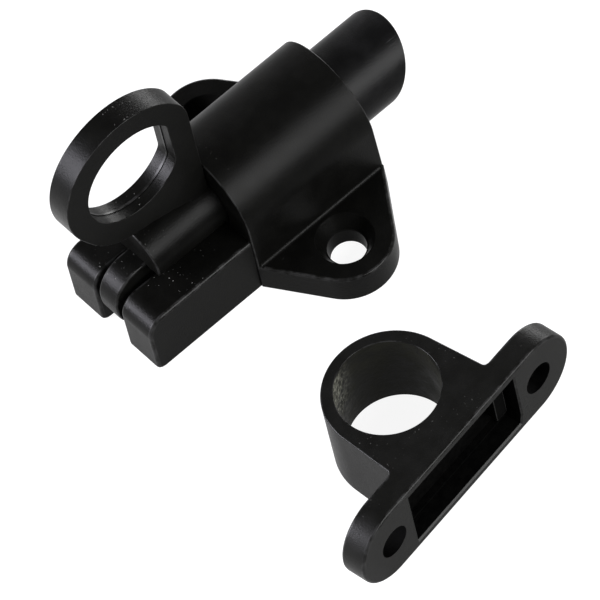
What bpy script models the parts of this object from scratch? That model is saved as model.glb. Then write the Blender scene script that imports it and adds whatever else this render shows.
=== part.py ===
"""Self-closing spring bolt latch with a pull ring, and the keeper its bolt shoots into.

Frame: +X is the way the bolt shoots, +Y is to its left, +Z is up from the mounting face.
The origin is on the mounting face, midway between the two screw holes of the ears.
Lengths are in metres.
"""
import math

import bmesh
import bpy
from mathutils import Matrix, Vector

MM = 0.001
GAP = 0.3 * MM                   # clearance between neighbours that touch
MERGE = 0.00001                  # merge distance of every welding step
ARC_STEP = math.radians(6)       # chord angle of round outlines
OVERSHOOT = 2 * MM               # how far a cutter runs past a face
EDGE_ANGLE = math.radians(40)    # edges sharper than this are rounded
SHADE_ANGLE = math.radians(32)   # edges sharper than this are shaded as edges
COARSE, MEDIUM, FINE = 24, 48, 64    # sides of small, middling and large round solids
BARREL_LOW = -1.0 * MM           # where the casting's pieces start, before its foot is cut flat
EAR_LOW = -1.4 * MM
RAIL_LOW = -1.8 * MM

# Bolt line, along X
AXIS_Z = 16.1 * MM
BOLT_R = 8.0 * MM
BOLT_SHOULDER_X = 9.2 * MM       # rear face of the bolt, where the spring pushes
BOLT_BEVEL_X = 24.7 * MM         # where the bevel crosses the axis
BEVEL_SLOPE = 0.52               # run along X for each unit of height
BOLT_EDGE = 0.35 * MM
SPIGOT_R = 4.0 * MM
SPIGOT_LEN = 8.0 * MM
SPIGOT_ROOT = 2.0 * MM           # how far the spigot runs back into the rod
PIN_R = 1.5 * MM
PIN_X = BOLT_SHOULDER_X + 4 * MM
PIN_HALF = 7.2 * MM

# Barrel
BARREL_BACK_X = -14.2 * MM
BARREL_FRONT_X = 14.3 * MM
FRONT_DRAFT = 0.4 * MM           # how much further the barrel reaches at its foot than at its top
BARREL_R = 11.5 * MM
BARREL_FOOT = 11.7 * MM          # half-width at the mounting face
REAR_WALL = 3.0 * MM
BORE_R = 8.2 * MM
ROD_HOLE_R = 6.2 * MM
BARREL_EDGE = 0.22 * MM          # rounding of the barrel's rims
CAST_EDGE = 0.45 * MM            # rounding of the other outer edges of the castings

# Ears
EAR_T = 5.9 * MM
EAR_TIP_Y = 17.8 * MM
EAR_TIP_R = 8.8 * MM
EAR_HOLE_Y = 18.0 * MM
EAR_PROUD = 0.08 * MM            # how far the ears' roots stand proud of the barrel's ends
ROOT_DEPTH = 2.6 * MM            # how deep the ears' roots run into the barrel
ROOT_DRAFT = 0.24 * MM           # how much a root narrows over that depth, at each end
SCREW_R = 3.5 * MM
SCREW_DRAFT = 0.25 * MM          # how much narrower a screw hole is at its far end
SINK_R = 5.1 * MM
SINK_LOW_R = 3.7 * MM
SINK_DEPTH = 2.8 * MM

# Rails behind the barrel, with the slot for the keel between them
RAIL_BACK_X = -37.8 * MM
RAIL_HALF = 11.2 * MM
RAIL_TOP = 13.1 * MM
SLOT_HALF = 3.4 * MM
RAIL_TOP_ROUND = 3.8 * MM
RAIL_LOW_ROUND = 1.2 * MM
RAIL_LOW_Z = 0.9 * MM            # centre of that rounding; the foot's cut leaves only part of it

# Pull handle: a flat-bottomed rod with the keel and the ring on its mid-plane
ROD_R = 5.86 * MM
ROD_FLAT_Z = AXIS_Z - 1.5 * MM
ROD_BACK_X = -29.95 * MM
PLATE_T = 4.7 * MM
PLATE_EDGE = 0.3 * MM
PLATE_FRONT_X = BARREL_BACK_X - GAP
KEEL_TOP = 15.3 * MM
KEEL_LOW = 1.0 * MM
KEEL_TOP_ROUND = 6.0 * MM
KEEL_LOW_ROUND = 7.5 * MM
RING_X = -27.75 * MM
RING_Z = 40.55 * MM
RING_R = 14.2 * MM
RING_CORNER_R = 9.0 * MM         # rounding where the ring's circle meets its flat front side
HOLE_X = -27.5 * MM
HOLE_Z = 39.95 * MM
HOLE_R = 9.9 * MM
HOLE_FLAT_X = -19.0 * MM
HOLE_CORNER_R = 2.5 * MM         # rounding where the finger hole's circle meets its flat side
RING_LEAVE = 208                 # where the ring's outline leaves its circle, in degrees
RING_LEG = ((-38.0 * MM, 29.6 * MM), (-36.3 * MM, 25.8 * MM), (-29.0 * MM, 24.7 * MM))
RING_NECK = ((-25.5 * MM, 24.3 * MM), (-21.5 * MM, 22.9 * MM), (-18.4 * MM, 21.8 * MM))

# Spring around the rod
SPRING_R = 7.0 * MM
WIRE_R = 0.6 * MM
SPRING_TURNS = 4.5
SPRING_DEAD_TURNS = 0.75         # closed turns at each end
SPRING_DEAD_PITCH = 1.35 * MM
SPRING_STEPS = 18                # points in each turn

# Keeper
KEEPER_X = -18.83 * MM
KEEPER_Y = -52.06 * MM
KEEPER_YAW = math.radians(9.1)
KEEPER_H = 16.9 * MM
KEEPER_BORE_R = 9.25 * MM
COLLAR_R = 11.95 * MM
COLLAR_Y = -0.75 * MM            # the collar's round is centred nearer to the flange than the bore
COLLAR_INSET = 0.1 * MM          # step between the flange's top edge and the collar's
SHOULDER_U = 12.7 * MM           # half-width of the collar where it meets the flange
FLANGE_NEAR = 10.9 * MM
FLANGE_FAR = 15.8 * MM
FLANGE_HALF = 27.45 * MM
KEEPER_HOLE_U = 19.4 * MM
KEEPER_SCREW_R = 3.3 * MM
KEEPER_SINK_DEPTH = 2.2 * MM
POCKET_HALF = 14.1 * MM
POCKET_WALL = 1.66 * MM
POCKET_FLOOR = 12.4 * MM
POCKET_END_DRAFT = 0.6 * MM      # how far the lower corner of its far end is set in
POCKET_CORNER = 2.0 * MM         # height of that corner
CORE_HALF = 11.4 * MM            # the deeper core behind the middle of the pocket
CORE_FLOOR = 11.1 * MM
CORE_INSET = 0.4 * MM
RIB_U = 11.3 * MM                # the rib that hangs from the pocket's upper wall
RIB_HALF = 1.3 * MM
RIB_DROP = 9.7 * MM
RIB_FACE = 14.0 * MM

SATIN_BLACK = (0.012, 0.012, 0.013)


def clear_scene():
    for obj in list(bpy.data.objects):
        bpy.data.objects.remove(obj, do_unlink=True)


def collection(name):
    found = bpy.data.collections.new(name)
    bpy.context.scene.collection.children.link(found)
    return found


def material(name, colour, roughness, metallic):
    found = bpy.data.materials.new(name)
    found.use_nodes = True
    shader = found.node_tree.nodes["Principled BSDF"]
    shader.inputs["Base Color"].default_value = (*colour, 1.0)
    shader.inputs["Roughness"].default_value = roughness
    shader.inputs["Metallic"].default_value = metallic
    return found


# Axes of the planes that outlines are drawn in: columns are outline X, outline Y, normal.
FLAT = Matrix.Identity(4)
SIDE = Matrix(((1, 0, 0, 0), (0, 0, -1, 0), (0, 1, 0, 0), (0, 0, 0, 1)))      # drawn in X and Z
END = Matrix(((0, 0, 1, 0), (1, 0, 0, 0), (0, 1, 0, 0), (0, 0, 0, 1)))        # drawn in Y and Z


def arc(cx, cy, radius, start, end):
    """Points on a circle from one angle to another, in degrees, both ends included."""
    sweep = math.radians(end - start)
    count = max(2, math.ceil(abs(sweep) / ARC_STEP) + 1)
    angles = [math.radians(start) + sweep * i / (count - 1) for i in range(count)]
    return [(cx + radius * math.cos(a), cy + radius * math.sin(a)) for a in angles]


def bend(start, pull_a, pull_b, end, count=8):
    """Points on a cubic curve that leaves start towards pull_a and reaches end from pull_b."""
    points = []
    for i in range(count + 1):
        t = i / count
        weights = ((1 - t) ** 3, 3 * t * (1 - t) ** 2, 3 * t * t * (1 - t), t ** 3)
        corners = (start, pull_a, pull_b, end)
        points.append(tuple(sum(w * p[k] for w, p in zip(weights, corners)) for k in (0, 1)))
    return points


def tangent_angle(px, py, cx, cy, radius, side):
    """Angle in degrees, seen from the circle's centre, where the line from (px, py) touches it."""
    away = math.atan2(py - cy, px - cx)
    return math.degrees(away + side * math.acos(radius / math.hypot(px - cx, py - cy)))


def mesh_of(obj, home):
    """Replaces an object by a plain mesh of what it evaluates to, with its shape in world space."""
    graph = bpy.context.evaluated_depsgraph_get()
    mesh = bpy.data.meshes.new_from_object(obj.evaluated_get(graph))
    mesh.transform(obj.matrix_world)
    name = obj.name
    bpy.data.objects.remove(obj, do_unlink=True)
    shape = bmesh.new()
    shape.from_mesh(mesh)
    bmesh.ops.remove_doubles(shape, verts=shape.verts, dist=MERGE)
    shape.to_mesh(mesh)
    shape.free()
    mesh.name = name
    result = bpy.data.objects.new(name, mesh)
    home.objects.link(result)
    return result


def plate(name, home, outlines, plane, low, high, edge=0.0):
    """A flat outline, with holes if it has more than one ring, from low to high along its normal."""
    curve = bpy.data.curves.new(name, "CURVE")
    curve.dimensions = "2D"
    curve.fill_mode = "BOTH"
    curve.extrude = (high - low) / 2
    for ring in outlines:
        spline = curve.splines.new("POLY")
        spline.points.add(len(ring) - 1)
        for point, (x, y) in zip(spline.points, ring):
            point.co = (x, y, 0, 1)
        spline.use_cyclic_u = True
    obj = bpy.data.objects.new(name, curve)
    home.objects.link(obj)
    obj.matrix_world = plane @ Matrix.Translation((0, 0, (low + high) / 2))
    bpy.context.view_layer.update()
    solid = mesh_of(obj, home)
    if edge:
        rounded(solid, edge)
    return solid


def rounded(obj, width):
    """Rounds the sharp edges of a solid that is otherwise finished."""
    bevel = obj.modifiers.new("rounded_edges", "BEVEL")
    bevel.width = width
    bevel.segments = 2
    bevel.limit_method = "ANGLE"
    bevel.angle_limit = EDGE_ANGLE


def turned(name, home, profile, place, steps=MEDIUM):
    """A solid of revolution about its own Z: profile lists (height, radius) from the top down."""
    mesh = bpy.data.meshes.new(name)
    shape = bmesh.new()
    verts = [shape.verts.new((radius, 0, height)) for height, radius in profile]
    for a, b in zip(verts, verts[1:]):
        shape.edges.new((a, b))
    shape.to_mesh(mesh)
    shape.free()
    obj = bpy.data.objects.new(name, mesh)
    home.objects.link(obj)
    screw = obj.modifiers.new("turn", "SCREW")
    screw.axis = "Z"
    screw.steps = steps
    screw.render_steps = steps
    screw.use_merge_vertices = True
    screw.merge_threshold = MERGE
    obj.matrix_world = place
    bpy.context.view_layer.update()
    return mesh_of(obj, home)


def along(axis, x, y, z):
    """Placement of a turned solid whose own Z runs along the given direction from (x, y, z)."""
    turn = Vector((0, 0, 1)).rotation_difference(Vector(axis)).to_matrix().to_4x4()
    return Matrix.Translation((x, y, z)) @ turn


def rod(name, home, radius, start, end, axis_point, axis, steps=MEDIUM, edge=0.0):
    """A cylinder from start to end, measured along axis from axis_point."""
    profile = [(end, 0), (end, radius), (start, radius), (start, 0)]
    if edge:
        profile = [(end, 0), (end, radius - edge), (end - edge, radius),
                   (start + edge, radius), (start, radius - edge), (start, 0)]
    return turned(name, home, profile, along(axis, *axis_point), steps)


def cross_hole(name, home):
    """Cutter for the pin's hole, turned a little so that its edges miss those of round pieces."""
    profile = [(BARREL_R, 0), (BARREL_R, PIN_R + GAP), (-BARREL_R, PIN_R + GAP), (-BARREL_R, 0)]
    place = along((0, 1, 0), PIN_X, 0, AXIS_Z) @ Matrix.Rotation(ARC_STEP / 2, 4, "Z")
    return turned(name, home, profile, place, COARSE)


def block(name, home, low, high):
    mesh = bpy.data.meshes.new(name)
    shape = bmesh.new()
    bmesh.ops.create_cube(shape, size=1)
    size = [b - a for a, b in zip(low, high)]
    middle = [(a + b) / 2 for a, b in zip(low, high)]
    bmesh.ops.scale(shape, vec=size, verts=shape.verts)
    bmesh.ops.translate(shape, vec=middle, verts=shape.verts)
    shape.to_mesh(mesh)
    shape.free()
    obj = bpy.data.objects.new(name, mesh)
    home.objects.link(obj)
    return obj


def combine(target, tool, operation):
    modifier = target.modifiers.new(tool.name, "BOOLEAN")
    modifier.object = tool
    modifier.operation = operation
    modifier.solver = "EXACT"
    tool.hide_render = True
    tool.display_type = "WIRE"


def finish(obj, finish_material):
    """Gives a solid its material and smooth shading on its round faces."""
    bpy.context.view_layer.update()
    home = obj.users_collection[0]
    solid = mesh_of(obj, home)
    solid.data.materials.clear()
    solid.data.materials.append(finish_material)
    for face in solid.data.polygons:
        face.material_index = 0
    solid.data.shade_smooth()
    solid.data.set_sharp_from_angle(angle=SHADE_ANGLE)
    return solid


def set_origin(obj, x, y, z):
    """Moves an object's origin without moving its shape."""
    obj.data.transform(Matrix.Translation((-x, -y, -z)))
    obj.location = (x, y, z)


def barrel_outline():
    dome = arc(0, AXIS_Z, BARREL_R, 0, 180)
    return [(-BARREL_FOOT, BARREL_LOW), (BARREL_FOOT, BARREL_LOW), *dome]


def ear_outline(side):
    """One ear, from inside the barrel to its tip; side is +1 or -1 in Y."""
    end = BARREL_FRONT_X + FRONT_DRAFT + EAR_PROUD
    start = BARREL_BACK_X - EAR_PROUD
    root = BARREL_R - ROOT_DEPTH
    front = tangent_angle(end, BARREL_R, 0, EAR_TIP_Y, EAR_TIP_R, 1)
    back = tangent_angle(start, BARREL_R, 0, EAR_TIP_Y, EAR_TIP_R, -1)
    tip = arc(0, EAR_TIP_Y, EAR_TIP_R, back % 360, front)
    ring = [(start + ROOT_DRAFT, root), (start, BARREL_R), *tip, (end, BARREL_R), (end - ROOT_DRAFT, root)]
    return [(x, side * y) for x, y in ring]


def rail_outline():
    """Side view of a rail, from its rounded rear end to inside the barrel."""
    top = RAIL_TOP - RAIL_TOP_ROUND
    front = BARREL_BACK_X + REAR_WALL / 2
    back = arc(RAIL_BACK_X + RAIL_TOP_ROUND, top, RAIL_TOP_ROUND, 90, 180)
    low = arc(RAIL_BACK_X + RAIL_LOW_ROUND, RAIL_LOW_Z, RAIL_LOW_ROUND, 180, 240)
    return [(front, RAIL_TOP), *back, *low, (low[-1][0], RAIL_LOW), (front, RAIL_LOW)]


def countersink(name, home, place, depth, screw_r, sink_depth):
    """Cutter for a countersunk screw hole; its own +Z leaves the mouth at zero."""
    profile = [
        (OVERSHOOT, 0), (OVERSHOOT, SINK_R), (0, SINK_R), (-sink_depth, SINK_LOW_R),
        (-sink_depth, screw_r), (-depth, screw_r - SCREW_DRAFT),
        (-depth - OVERSHOOT, screw_r - SCREW_DRAFT), (-depth - OVERSHOOT, 0),
    ]
    return turned(name, home, profile, place, 40)


def rod_section(radius, flat_z):
    """Section of the flat-bottomed rod or of its hole, in Y and Z."""
    drop = math.degrees(math.asin((AXIS_Z - flat_z) / radius))
    return arc(0, AXIS_Z, radius, -drop, 180 + drop)


def make_housing(home, tools, coat):
    """The die-cast body: barrel, two ears and two rails."""
    body = plate("housing", home, [barrel_outline()], END, BARREL_BACK_X, BARREL_FRONT_X)
    for vertex in body.data.vertices:
        if vertex.co.x > 0:
            vertex.co.x += FRONT_DRAFT * (1 - vertex.co.z / (AXIS_Z + BARREL_R))
    rounded(body, BARREL_EDGE)
    for name, side in (("ear_left", 1), ("ear_right", -1)):
        ear = plate(name, tools, [ear_outline(side)], FLAT, EAR_LOW, EAR_T, CAST_EDGE)
        combine(body, ear, "UNION")
    for name, low in (("rail_left", SLOT_HALF), ("rail_right", -RAIL_HALF)):
        high = low + RAIL_HALF - SLOT_HALF
        rail = plate(name, tools, [rail_outline()], SIDE, -high, -low, CAST_EDGE)
        combine(body, rail, "UNION")
    bore_start = BARREL_BACK_X + REAR_WALL
    bore = rod("bore", tools, BORE_R, bore_start, BARREL_FRONT_X + OVERSHOOT, (0, 0, AXIS_Z), (1, 0, 0))
    hole_flat = ROD_FLAT_Z - GAP
    rear_hole = plate("rear_hole", tools, [rod_section(ROD_HOLE_R, hole_flat)], END,
                      BARREL_BACK_X - OVERSHOOT, bore_start + OVERSHOOT)
    reach = 3 * RAIL_BACK_X
    foot = block("foot", tools, (reach, reach, reach), (-reach, -reach, 0))
    for tool in (foot, bore, rear_hole):
        combine(body, tool, "DIFFERENCE")
    for name, y in (("screw_left", EAR_HOLE_Y), ("screw_right", -EAR_HOLE_Y)):
        place = along((0, 0, 1), 0, y, EAR_T)
        combine(body, countersink(name, tools, place, EAR_T, SCREW_R, SINK_DEPTH), "DIFFERENCE")
    return finish(body, coat)


def make_bolt(home, tools, coat):
    """The round bolt: bevelled nose, blind hole for the handle's spigot and a cross hole for the pin."""
    longest = BOLT_BEVEL_X + 2 * BOLT_R
    bolt = rod("bolt", home, BOLT_R, BOLT_SHOULDER_X, longest, (0, 0, AXIS_Z), (1, 0, 0), FINE, BOLT_EDGE)
    reach = 4 * BOLT_R
    bevel = block("bevel", tools, (0, -reach, -reach), (reach, reach, reach))
    bevel.matrix_world = Matrix.Translation((BOLT_BEVEL_X, 0, AXIS_Z)) @ Matrix.Rotation(
        math.atan(BEVEL_SLOPE), 4, "Y")
    blind = rod("blind", tools, SPIGOT_R + GAP, BOLT_SHOULDER_X - OVERSHOOT,
                BOLT_SHOULDER_X + SPIGOT_LEN + GAP, (0, 0, AXIS_Z), (1, 0, 0), FINE // 2)
    combine(blind, cross_hole("cross", tools), "UNION")
    combine(bolt, bevel, "DIFFERENCE")
    combine(bolt, blind, "DIFFERENCE")
    solid = finish(bolt, coat)
    set_origin(solid, BOLT_SHOULDER_X, 0, AXIS_Z)
    return solid


def keel_outline():
    """Side view of the keel that runs in the slot between the rails."""
    top = arc(RAIL_BACK_X + KEEL_TOP_ROUND, KEEL_TOP - KEEL_TOP_ROUND, KEEL_TOP_ROUND, 90, 180)
    low = arc(RAIL_BACK_X + KEEL_LOW_ROUND, KEEL_LOW + KEEL_LOW_ROUND, KEEL_LOW_ROUND, 180, 270)
    return [(PLATE_FRONT_X, KEEL_TOP), *top, *low, (PLATE_FRONT_X, KEEL_LOW)]


def corner_arc(cx, cz, radius, flat_x, corner_r, side):
    """The rounding between a circle and the upright line at flat_x; side is +1 above, -1 below."""
    x = flat_x - corner_r
    rise = side * math.sqrt((radius - corner_r) ** 2 - (x - cx) ** 2)
    meet = math.degrees(math.atan2(rise, x - cx))
    return arc(x, cz + rise, corner_r, 0, meet), meet


def ring_outline():
    """Side view of the ring and its neck, down to the rod's axis."""
    corner, meet = corner_arc(RING_X, RING_Z, RING_R, PLATE_FRONT_X, RING_CORNER_R, 1)
    crown = arc(RING_X, RING_Z, RING_R, meet, RING_LEAVE)
    leg = bend(crown[-1], *RING_LEG)
    neck = bend(leg[-1], *RING_NECK)
    return [*corner, *crown[1:], *leg[1:], *neck[1:], (RING_NECK[-1][0], AXIS_Z), (PLATE_FRONT_X, AXIS_Z)]


def finger_hole():
    upper, meet = corner_arc(HOLE_X, HOLE_Z, HOLE_R, HOLE_FLAT_X, HOLE_CORNER_R, 1)
    lower = [(x, 2 * HOLE_Z - z) for x, z in reversed(upper)]
    return [*upper, *arc(HOLE_X, HOLE_Z, HOLE_R, meet, 360 - meet)[1:], *lower[1:]]


def make_handle(home, tools, coat):
    """One casting: the rod that draws the bolt, the keel that keeps it from turning, and the ring."""
    section = rod_section(ROD_R, ROD_FLAT_Z)
    handle = plate("pull_handle", home, [section], END, ROD_BACK_X, BOLT_SHOULDER_X - GAP, PLATE_EDGE)
    half = PLATE_T / 2
    keel = plate("keel", tools, [keel_outline()], SIDE, -half, half, PLATE_EDGE)
    ring = plate("ring", tools, [ring_outline(), finger_hole()], SIDE, -half, half, PLATE_EDGE)
    spigot = rod("spigot", tools, SPIGOT_R, BOLT_SHOULDER_X - SPIGOT_ROOT, BOLT_SHOULDER_X + SPIGOT_LEN,
                 (0, 0, AXIS_Z), (1, 0, 0), FINE // 2, BOLT_EDGE)
    for tool in (keel, ring, spigot):
        combine(handle, tool, "UNION")
    combine(handle, cross_hole("spigot_hole", tools), "DIFFERENCE")
    solid = finish(handle, coat)
    set_origin(solid, ROD_BACK_X, 0, AXIS_Z)
    return solid


def make_pin(home, steel):
    """The pin that ties the handle's spigot to the bolt."""
    pin = rod("bolt_pin", home, PIN_R, -PIN_HALF, PIN_HALF, (PIN_X, 0, AXIS_Z), (0, 1, 0), COARSE, BOLT_EDGE)
    solid = finish(pin, steel)
    set_origin(solid, PIN_X, 0, AXIS_Z)
    return solid


def spring_advance(turn, length):
    """How far along X the wire has gone after so many turns: closed ends, open middle."""
    open_turns = SPRING_TURNS - 2 * SPRING_DEAD_TURNS
    open_pitch = (length - 2 * SPRING_DEAD_TURNS * SPRING_DEAD_PITCH) / open_turns
    first = min(turn, SPRING_DEAD_TURNS)
    middle = min(max(turn - SPRING_DEAD_TURNS, 0), open_turns)
    last = max(turn - SPRING_DEAD_TURNS - open_turns, 0)
    return (first + last) * SPRING_DEAD_PITCH + middle * open_pitch


def make_spring(home, steel):
    """The compression spring between the barrel's rear wall and the bolt's shoulder."""
    start = BARREL_BACK_X + REAR_WALL + GAP + WIRE_R
    end = BOLT_SHOULDER_X - GAP - WIRE_R
    count = round(SPRING_TURNS * SPRING_STEPS)
    curve = bpy.data.curves.new("bolt_spring", "CURVE")
    curve.dimensions = "3D"
    curve.bevel_depth = WIRE_R
    curve.bevel_resolution = 2
    curve.use_fill_caps = True
    spline = curve.splines.new("POLY")
    spline.points.add(count)
    for i, point in enumerate(spline.points):
        turn = i / SPRING_STEPS
        angle = 2 * math.pi * turn
        x = start + spring_advance(turn, end - start)
        point.co = (x, SPRING_R * math.cos(angle), AXIS_Z + SPRING_R * math.sin(angle), 1)
    obj = bpy.data.objects.new("bolt_spring", curve)
    home.objects.link(obj)
    bpy.context.view_layer.update()
    return finish(obj, steel)


def keeper_frame():
    """Keeper placement: its own X runs along the flange and its own -Y points to the mounting face."""
    return Matrix.Translation((KEEPER_X, KEEPER_Y, 0)) @ Matrix.Rotation(KEEPER_YAW, 4, "Z")


def collar_outline():
    """Top view of the collar, whose sides run on to the flange; the flange is at negative Y."""
    foot = -(FLANGE_NEAR + POCKET_FLOOR) / 2
    touch = tangent_angle(SHOULDER_U, foot, 0, COLLAR_Y, COLLAR_R, 1)
    return [(SHOULDER_U, foot), *arc(0, COLLAR_Y, COLLAR_R, touch, 180 - touch), (-SHOULDER_U, foot)]


def flange_outline():
    end_r = KEEPER_H / 2
    centre = FLANGE_HALF - end_r
    return arc(centre, end_r, end_r, -90, 90) + arc(-centre, end_r, end_r, 90, 270)


def pocket_outline():
    """The pocket in the mounting face, whose far end has a slanted lower corner."""
    top = KEEPER_H - POCKET_WALL
    return [(-POCKET_HALF, POCKET_WALL), (POCKET_HALF - POCKET_END_DRAFT, POCKET_WALL),
            (POCKET_HALF, POCKET_WALL + POCKET_CORNER), (POCKET_HALF, top), (-POCKET_HALF, top)]


def make_keeper(home, tools, coat):
    """The keeper: an upright collar for the bolt on a flange with a cored-out mounting face."""
    place = keeper_frame()
    side = place @ SIDE
    keeper = plate("keeper", home, [collar_outline()], place, COLLAR_INSET,
                   KEEPER_H - COLLAR_INSET, CAST_EDGE)
    flange = plate("flange", tools, [flange_outline()], side, FLANGE_NEAR, FLANGE_FAR, CAST_EDGE)
    combine(keeper, flange, "UNION")
    bore = rod("keeper_bore", tools, KEEPER_BORE_R, -OVERSHOOT, KEEPER_H + OVERSHOOT,
               place.translation, (0, 0, 1), FINE)
    combine(keeper, bore, "DIFFERENCE")
    pocket = plate("pocket", tools, [pocket_outline()], side, POCKET_FLOOR, FLANGE_FAR + OVERSHOOT)
    combine(keeper, pocket, "DIFFERENCE")
    core = block("core", tools, (-CORE_HALF, -FLANGE_FAR, POCKET_WALL + CORE_INSET),
                 (CORE_HALF, -CORE_FLOOR, KEEPER_H - POCKET_WALL - CORE_INSET))
    core.matrix_world = place
    combine(keeper, core, "DIFFERENCE")
    for name, u in (("screw_near", -KEEPER_HOLE_U), ("screw_far", KEEPER_HOLE_U)):
        mouth = place @ Matrix.Translation((u, -FLANGE_NEAR, KEEPER_H / 2)) @ along((0, 1, 0), 0, 0, 0)
        hole = countersink(name, tools, mouth, FLANGE_FAR - FLANGE_NEAR, KEEPER_SCREW_R, KEEPER_SINK_DEPTH)
        combine(keeper, hole, "DIFFERENCE")
    top = KEEPER_H - POCKET_WALL
    rib = block("rib", tools, (RIB_U - RIB_HALF, -RIB_FACE, top - RIB_DROP),
                (RIB_U + RIB_HALF, -(CORE_FLOOR + POCKET_FLOOR) / 2, top + GAP))
    rib.matrix_world = place
    combine(keeper, rib, "UNION")
    solid = finish(keeper, coat)
    solid.data.transform(place.inverted())
    solid.matrix_world = place
    return solid


def build():
    clear_scene()
    home = collection("spring_bolt_latch")
    tools = collection("cutters")
    coat = material("housing_coat", SATIN_BLACK, 0.42, 0.0)
    bolt_coat = material("bolt_coat", (0.016, 0.016, 0.018), 0.36, 0.3)
    handle_coat = material("handle_coat", SATIN_BLACK, 0.4, 0.0)
    keeper_coat = material("keeper_coat", (0.014, 0.014, 0.014), 0.45, 0.0)
    pin_steel = material("pin_steel", (0.5, 0.5, 0.5), 0.35, 1.0)
    spring_steel = material("spring_steel", (0.45, 0.45, 0.46), 0.3, 1.0)
    make_housing(home, tools, coat)
    make_bolt(home, tools, bolt_coat)
    make_handle(home, tools, handle_coat)
    make_pin(home, pin_steel)
    make_spring(home, spring_steel)
    make_keeper(home, tools, keeper_coat)


build()
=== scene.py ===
"""Looks of the spring bolt latch and its keeper: fine shapes, finishes, floor, light and camera.

Everything is in metres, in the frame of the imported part: +X is the way the bolt shoots, +Y is to
its left, +Z is up from the mounting face, and the origin is midway between the ears' screw holes.
"""

import math

import bmesh
import bpy
from mathutils import Matrix, Vector


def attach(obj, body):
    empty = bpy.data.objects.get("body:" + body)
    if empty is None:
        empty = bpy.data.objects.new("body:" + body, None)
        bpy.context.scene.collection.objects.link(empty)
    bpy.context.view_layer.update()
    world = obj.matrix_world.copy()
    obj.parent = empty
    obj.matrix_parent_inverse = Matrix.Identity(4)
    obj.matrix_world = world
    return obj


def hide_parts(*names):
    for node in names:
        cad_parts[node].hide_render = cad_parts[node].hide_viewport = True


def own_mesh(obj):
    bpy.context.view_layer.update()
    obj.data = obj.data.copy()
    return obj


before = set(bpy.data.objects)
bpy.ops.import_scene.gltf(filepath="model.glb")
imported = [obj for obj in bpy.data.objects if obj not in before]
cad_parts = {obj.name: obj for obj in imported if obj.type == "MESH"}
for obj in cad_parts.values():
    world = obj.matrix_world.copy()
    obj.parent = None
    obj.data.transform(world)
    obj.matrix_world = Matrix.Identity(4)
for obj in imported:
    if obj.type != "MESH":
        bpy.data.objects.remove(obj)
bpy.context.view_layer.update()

MM = 0.001
GAP = 0.3 * MM                    # clearance between pieces that slide or nest
MERGE = 0.01 * MM                 # vertices closer than this become one
OVERSHOOT = 2 * MM                # how far a cutter stands out of what it cuts
ARC_STEP = math.radians(3)
BEND_STEPS = 16
QUARTER = [math.radians(a) for a in (0, 30, 60, 90)]    # points of a small rounding
EDGE_ANGLE = math.radians(40)     # edges sharper than this are rounded
EDGE_SEGMENTS = 3
SHADE_ANGLE = math.radians(33)    # edges sharper than this are shaded as sharp
FLAT_ANGLE = math.radians(0.5)    # faces that meet flatter than this are merged
NORMAL_WEIGHT = 90                # how strongly large faces steer the shading of small ones

# Sides of round parts
PIN_STEPS = 32
SPIGOT_STEPS = 64
SCREW_STEPS = 80
BORE_STEPS = 96
BOLT_STEPS = 120

# Material slots of every casting
COAT, WORN_AND_HIGHLIT, RAW, DULL_PAINTED_SHADE = range(4)
STAND_INS = [bpy.data.materials.new(name) for name in (
    "stand_in_coat", "stand_in_worn_highlit", "stand_in_raw", "stand_in_painted_shade")]

# Bolt line
AXIS_Z = 16.1 * MM
BOLT_R = 8.0 * MM
BOLT_SHOULDER_X = 9.2 * MM
BOLT_BEVEL_X = 24.7 * MM
BEVEL_SLOPE = 0.52
BOLT_EDGE = 0.3 * MM
SPIGOT_R = 4.0 * MM
SPIGOT_LEN = 8.0 * MM
SPIGOT_ROOT = 2.0 * MM            # how deep it starts inside the rod
PIN_R = 1.5 * MM
PIN_X = BOLT_SHOULDER_X + SPIGOT_LEN / 2

# Barrel, ears and rails
BARREL_BACK_X = -14.2 * MM
BARREL_FRONT_X = 14.3 * MM
FRONT_DRAFT = 0.4 * MM
BARREL_R = 11.5 * MM
BARREL_FOOT = 11.7 * MM
REAR_WALL = 3.0 * MM
BORE_R = 8.2 * MM
ROD_HOLE_R = 6.2 * MM
BARREL_EDGE = 0.24 * MM
CAST_EDGE = 0.5 * MM
RAIL_EDGE = 0.6 * MM
BARREL_LOW, EAR_LOW, RAIL_LOW = -1.0 * MM, -1.4 * MM, -1.8 * MM
EAR_T = 5.9 * MM
EAR_TIP_Y = 17.8 * MM
EAR_TIP_R = 8.8 * MM
EAR_HOLE_Y = 18.0 * MM
EAR_PROUD = 0.08 * MM             # how far an ear's sides stand out of the barrel's two ends
ROOT_DEPTH = 2.6 * MM             # how deep an ear reaches into the barrel
ROOT_DRAFT = 0.24 * MM            # and how much narrower it is there
SCREW_R = 3.5 * MM
SCREW_DRAFT = 0.25 * MM
SINK_R = 5.1 * MM
SINK_LOW_R = 3.7 * MM
SINK_DEPTH = 2.8 * MM
SINK_LIP = 0.25 * MM
SINK_BULGE = 0.35 * SINK_LIP      # middle of the lip's rounding
SINK_STEP = 0.4 * SINK_LIP        # ledge between the countersink and the screw hole
RAIL_BACK_X = -37.8 * MM
RAIL_HALF = 11.2 * MM
RAIL_TOP = 13.1 * MM
SLOT_HALF = 3.4 * MM
RAIL_TOP_ROUND = 3.8 * MM
RAIL_LOW_ROUND = 1.2 * MM
RAIL_LOW_Z = 0.9 * MM             # height of the low rounding's centre
RAIL_LOW_TURN = 60                # and the angle that it turns through, in degrees
FILLET = 0.7 * MM
FILLET_INSET = 0.07 * MM          # how far the ear's fillet starts inside the barrel's foot
FILLET_START = 262                # degrees; an arc of 270 to 180 would just touch both walls
FILLET_END = 188

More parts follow.
